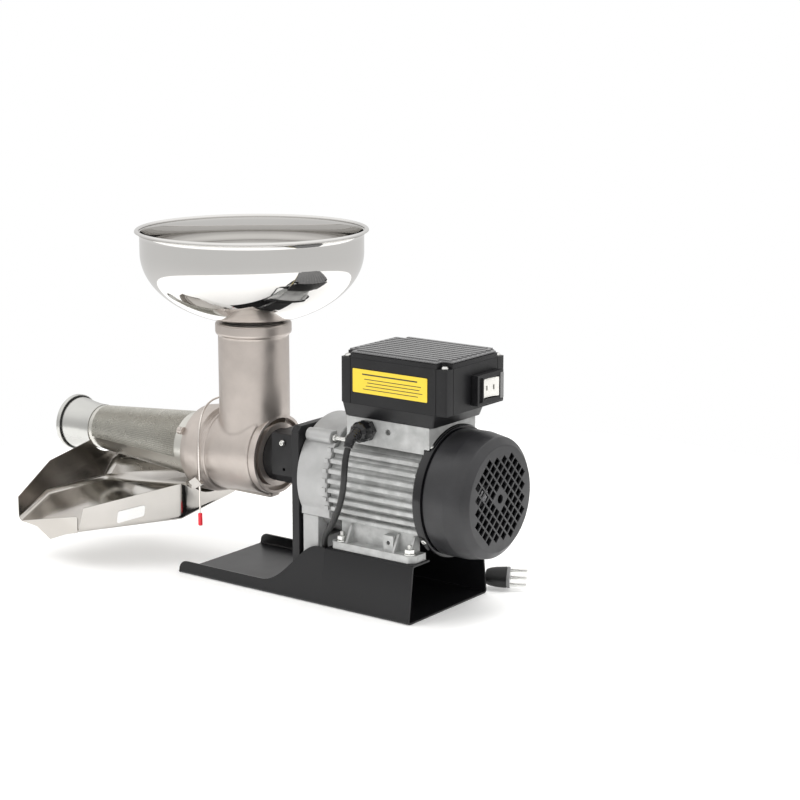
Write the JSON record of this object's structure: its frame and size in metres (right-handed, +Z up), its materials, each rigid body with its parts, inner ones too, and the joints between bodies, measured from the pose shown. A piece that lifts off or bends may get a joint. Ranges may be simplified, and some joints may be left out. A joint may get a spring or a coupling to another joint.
{
  "type": "motorised food mill",
  "caption": "Electric mincer and fruit press: motor and reducer on a folded base drive a head with a steel hopper, auger, conical sieve and juice chute.",
  "frame": {"origin": "on the resting plane, under the middle of the motor's feet, in the machine's middle plane", "axes": "+X along the motor axis towards the fan cover, +Z up, -Y the side with the label and the cord gland"},
  "size_m": [0.638, 0.322, 0.401],
  "materials": {
    "black_sheet": "glossy black stove enamel on folded sheet",
    "black_plastic": "black moulded plastic with a fine grain",
    "fan_plastic": "black plastic, satin",
    "cast_aluminium": "light grey cast aluminium, slightly rough",
    "head_casting": "satin cast and turned alloy, warm grey",
    "mirror_steel": "mirror-polished stainless steel",
    "satin_steel": "stainless steel sheet",
    "zinc_steel": "zinc-plated steel",
    "shaft_steel": "ground steel",
    "wound_core": "varnished winding and laminations",
    "rubber": "black rubber",
    "red_plastic": "soft red end caps",
    "yellow_label": "printed film label",
    "white_plastic": "white plastic",
    "nylon": "natural nylon"
  },
  "bodies": {
    "frame": {"base_tray": "black_sheet", "support_plate": "black_sheet", "coupling_bracket": "black_sheet", "clamp_screw": "zinc_steel", "gearbox_housing": "cast_aluminium", "gearbox_stand": "cast_aluminium", "stator_core": "wound_core", "front_bearing": "zinc_steel", "rear_bearing": "zinc_steel", "motor_housing": "cast_aluminium", "foot_bolt_1": "zinc_steel", "foot_bolt_2": "zinc_steel", "foot_bolt_3": "zinc_steel", "foot_bolt_4": "zinc_steel", "tie_bolt": "zinc_steel", "rear_flange": "black_plastic", "fan_cover": "fan_plastic", "control_box_base": "black_plastic", "control_box_cover": "black_plastic", "lid_plate": "fan_plastic", "lid_screw_1": "zinc_steel", "lid_screw_2": "zinc_steel", "lid_screw_3": "zinc_steel", "lid_screw_4": "zinc_steel", "caution_label": "yellow_label", "run_capacitor": "white_plastic", "switch_frame": "black_plastic", "cable_gland": "black_plastic", "gland_sleeve": "black_plastic", "mains_cord": "rubber", "plug_lead": "rubber", "cord_coil": "rubber", "coil_tie": "rubber", "plug_body": "black_plastic", "plug_pin_1": "zinc_steel", "plug_pin_2": "zinc_steel", "plug_pin_3": "zinc_steel"},
    "rotor": {"rotor_shaft": "shaft_steel", "rotor_core": "shaft_steel", "cooling_fan": "black_plastic"},
    "countershaft": {"layshaft": "shaft_steel", "layshaft_gear": "shaft_steel"},
    "output": {"output_gear": "shaft_steel", "output_shaft": "shaft_steel"},
    "rocker": {"switch_rocker": "white_plastic"},
    "head": {"press_body": "head_casting", "auger_seal": "rubber"},
    "screw": {"auger": "nylon"},
    "bowl": {"hopper": "mirror_steel", "hopper_spigot": "mirror_steel"},
    "strainer": {"sieve": "satin_steel", "sieve_flare": "satin_steel", "sieve_seal": "rubber", "sieve_end_ring": "satin_steel"},
    "juice_chute": {"chute": "satin_steel", "chute_sticker": "white_plastic"},
    "bail": {"bail_wire": "zinc_steel", "bail_tip_1": "red_plastic", "bail_tip_2": "red_plastic"}
  },
  "joints": [
    {"name": "rotor_spin", "type": "hinge", "parent": "frame", "child": "rotor", "pos_m": [0, 0, 0.1356], "axis": [1, 0, 0], "continuous": true},
    {"name": "layshaft_spin", "type": "hinge", "parent": "frame", "child": "countershaft", "pos_m": [-0.08, 0, 0.1656], "axis": [1, 0, 0], "continuous": true},
    {"name": "output_spin", "type": "hinge", "parent": "frame", "child": "output", "pos_m": [-0.12, 0, 0.1356], "axis": [1, 0, 0], "continuous": true},
    {"name": "auger_spin", "type": "hinge", "parent": "head", "child": "screw", "pos_m": [-0.3, 0, 0.1356], "axis": [1, 0, 0], "continuous": true},
    {"name": "switch_rock", "type": "hinge", "parent": "frame", "child": "rocker", "pos_m": [0.0965, 0.0175, 0.2515], "axis": [0, 0, 1], "range_deg": [0, 16]},
    {"name": "head_release", "type": "slide", "parent": "frame", "child": "head", "axis": [-1, 0, 0], "range_m": [0, 0.04]},
    {"name": "hopper_lift", "type": "slide", "parent": "head", "child": "bowl", "axis": [0, 0, 1], "range_m": [0, 0.05]},
    {"name": "sieve_pull", "type": "slide", "parent": "head", "child": "strainer", "axis": [-1, 0, 0], "range_m": [0, 0.022]},
    {"name": "chute_drop", "type": "slide", "parent": "head", "child": "juice_chute", "axis": [0, 0, -1], "range_m": [0, 0.01]},
    {"name": "bail_lift", "type": "slide", "parent": "head", "child": "bail", "axis": [0, 0, 1], "range_m": [0, 0.007]}
  ],
  "couplings": [
    {"joint": "layshaft_spin", "follows": "rotor_spin", "ratio": -0.26316},
    {"joint": "output_spin", "follows": "rotor_spin", "ratio": 0.087719},
    {"joint": "auger_spin", "follows": "rotor_spin", "ratio": 0.087719}
  ]
}
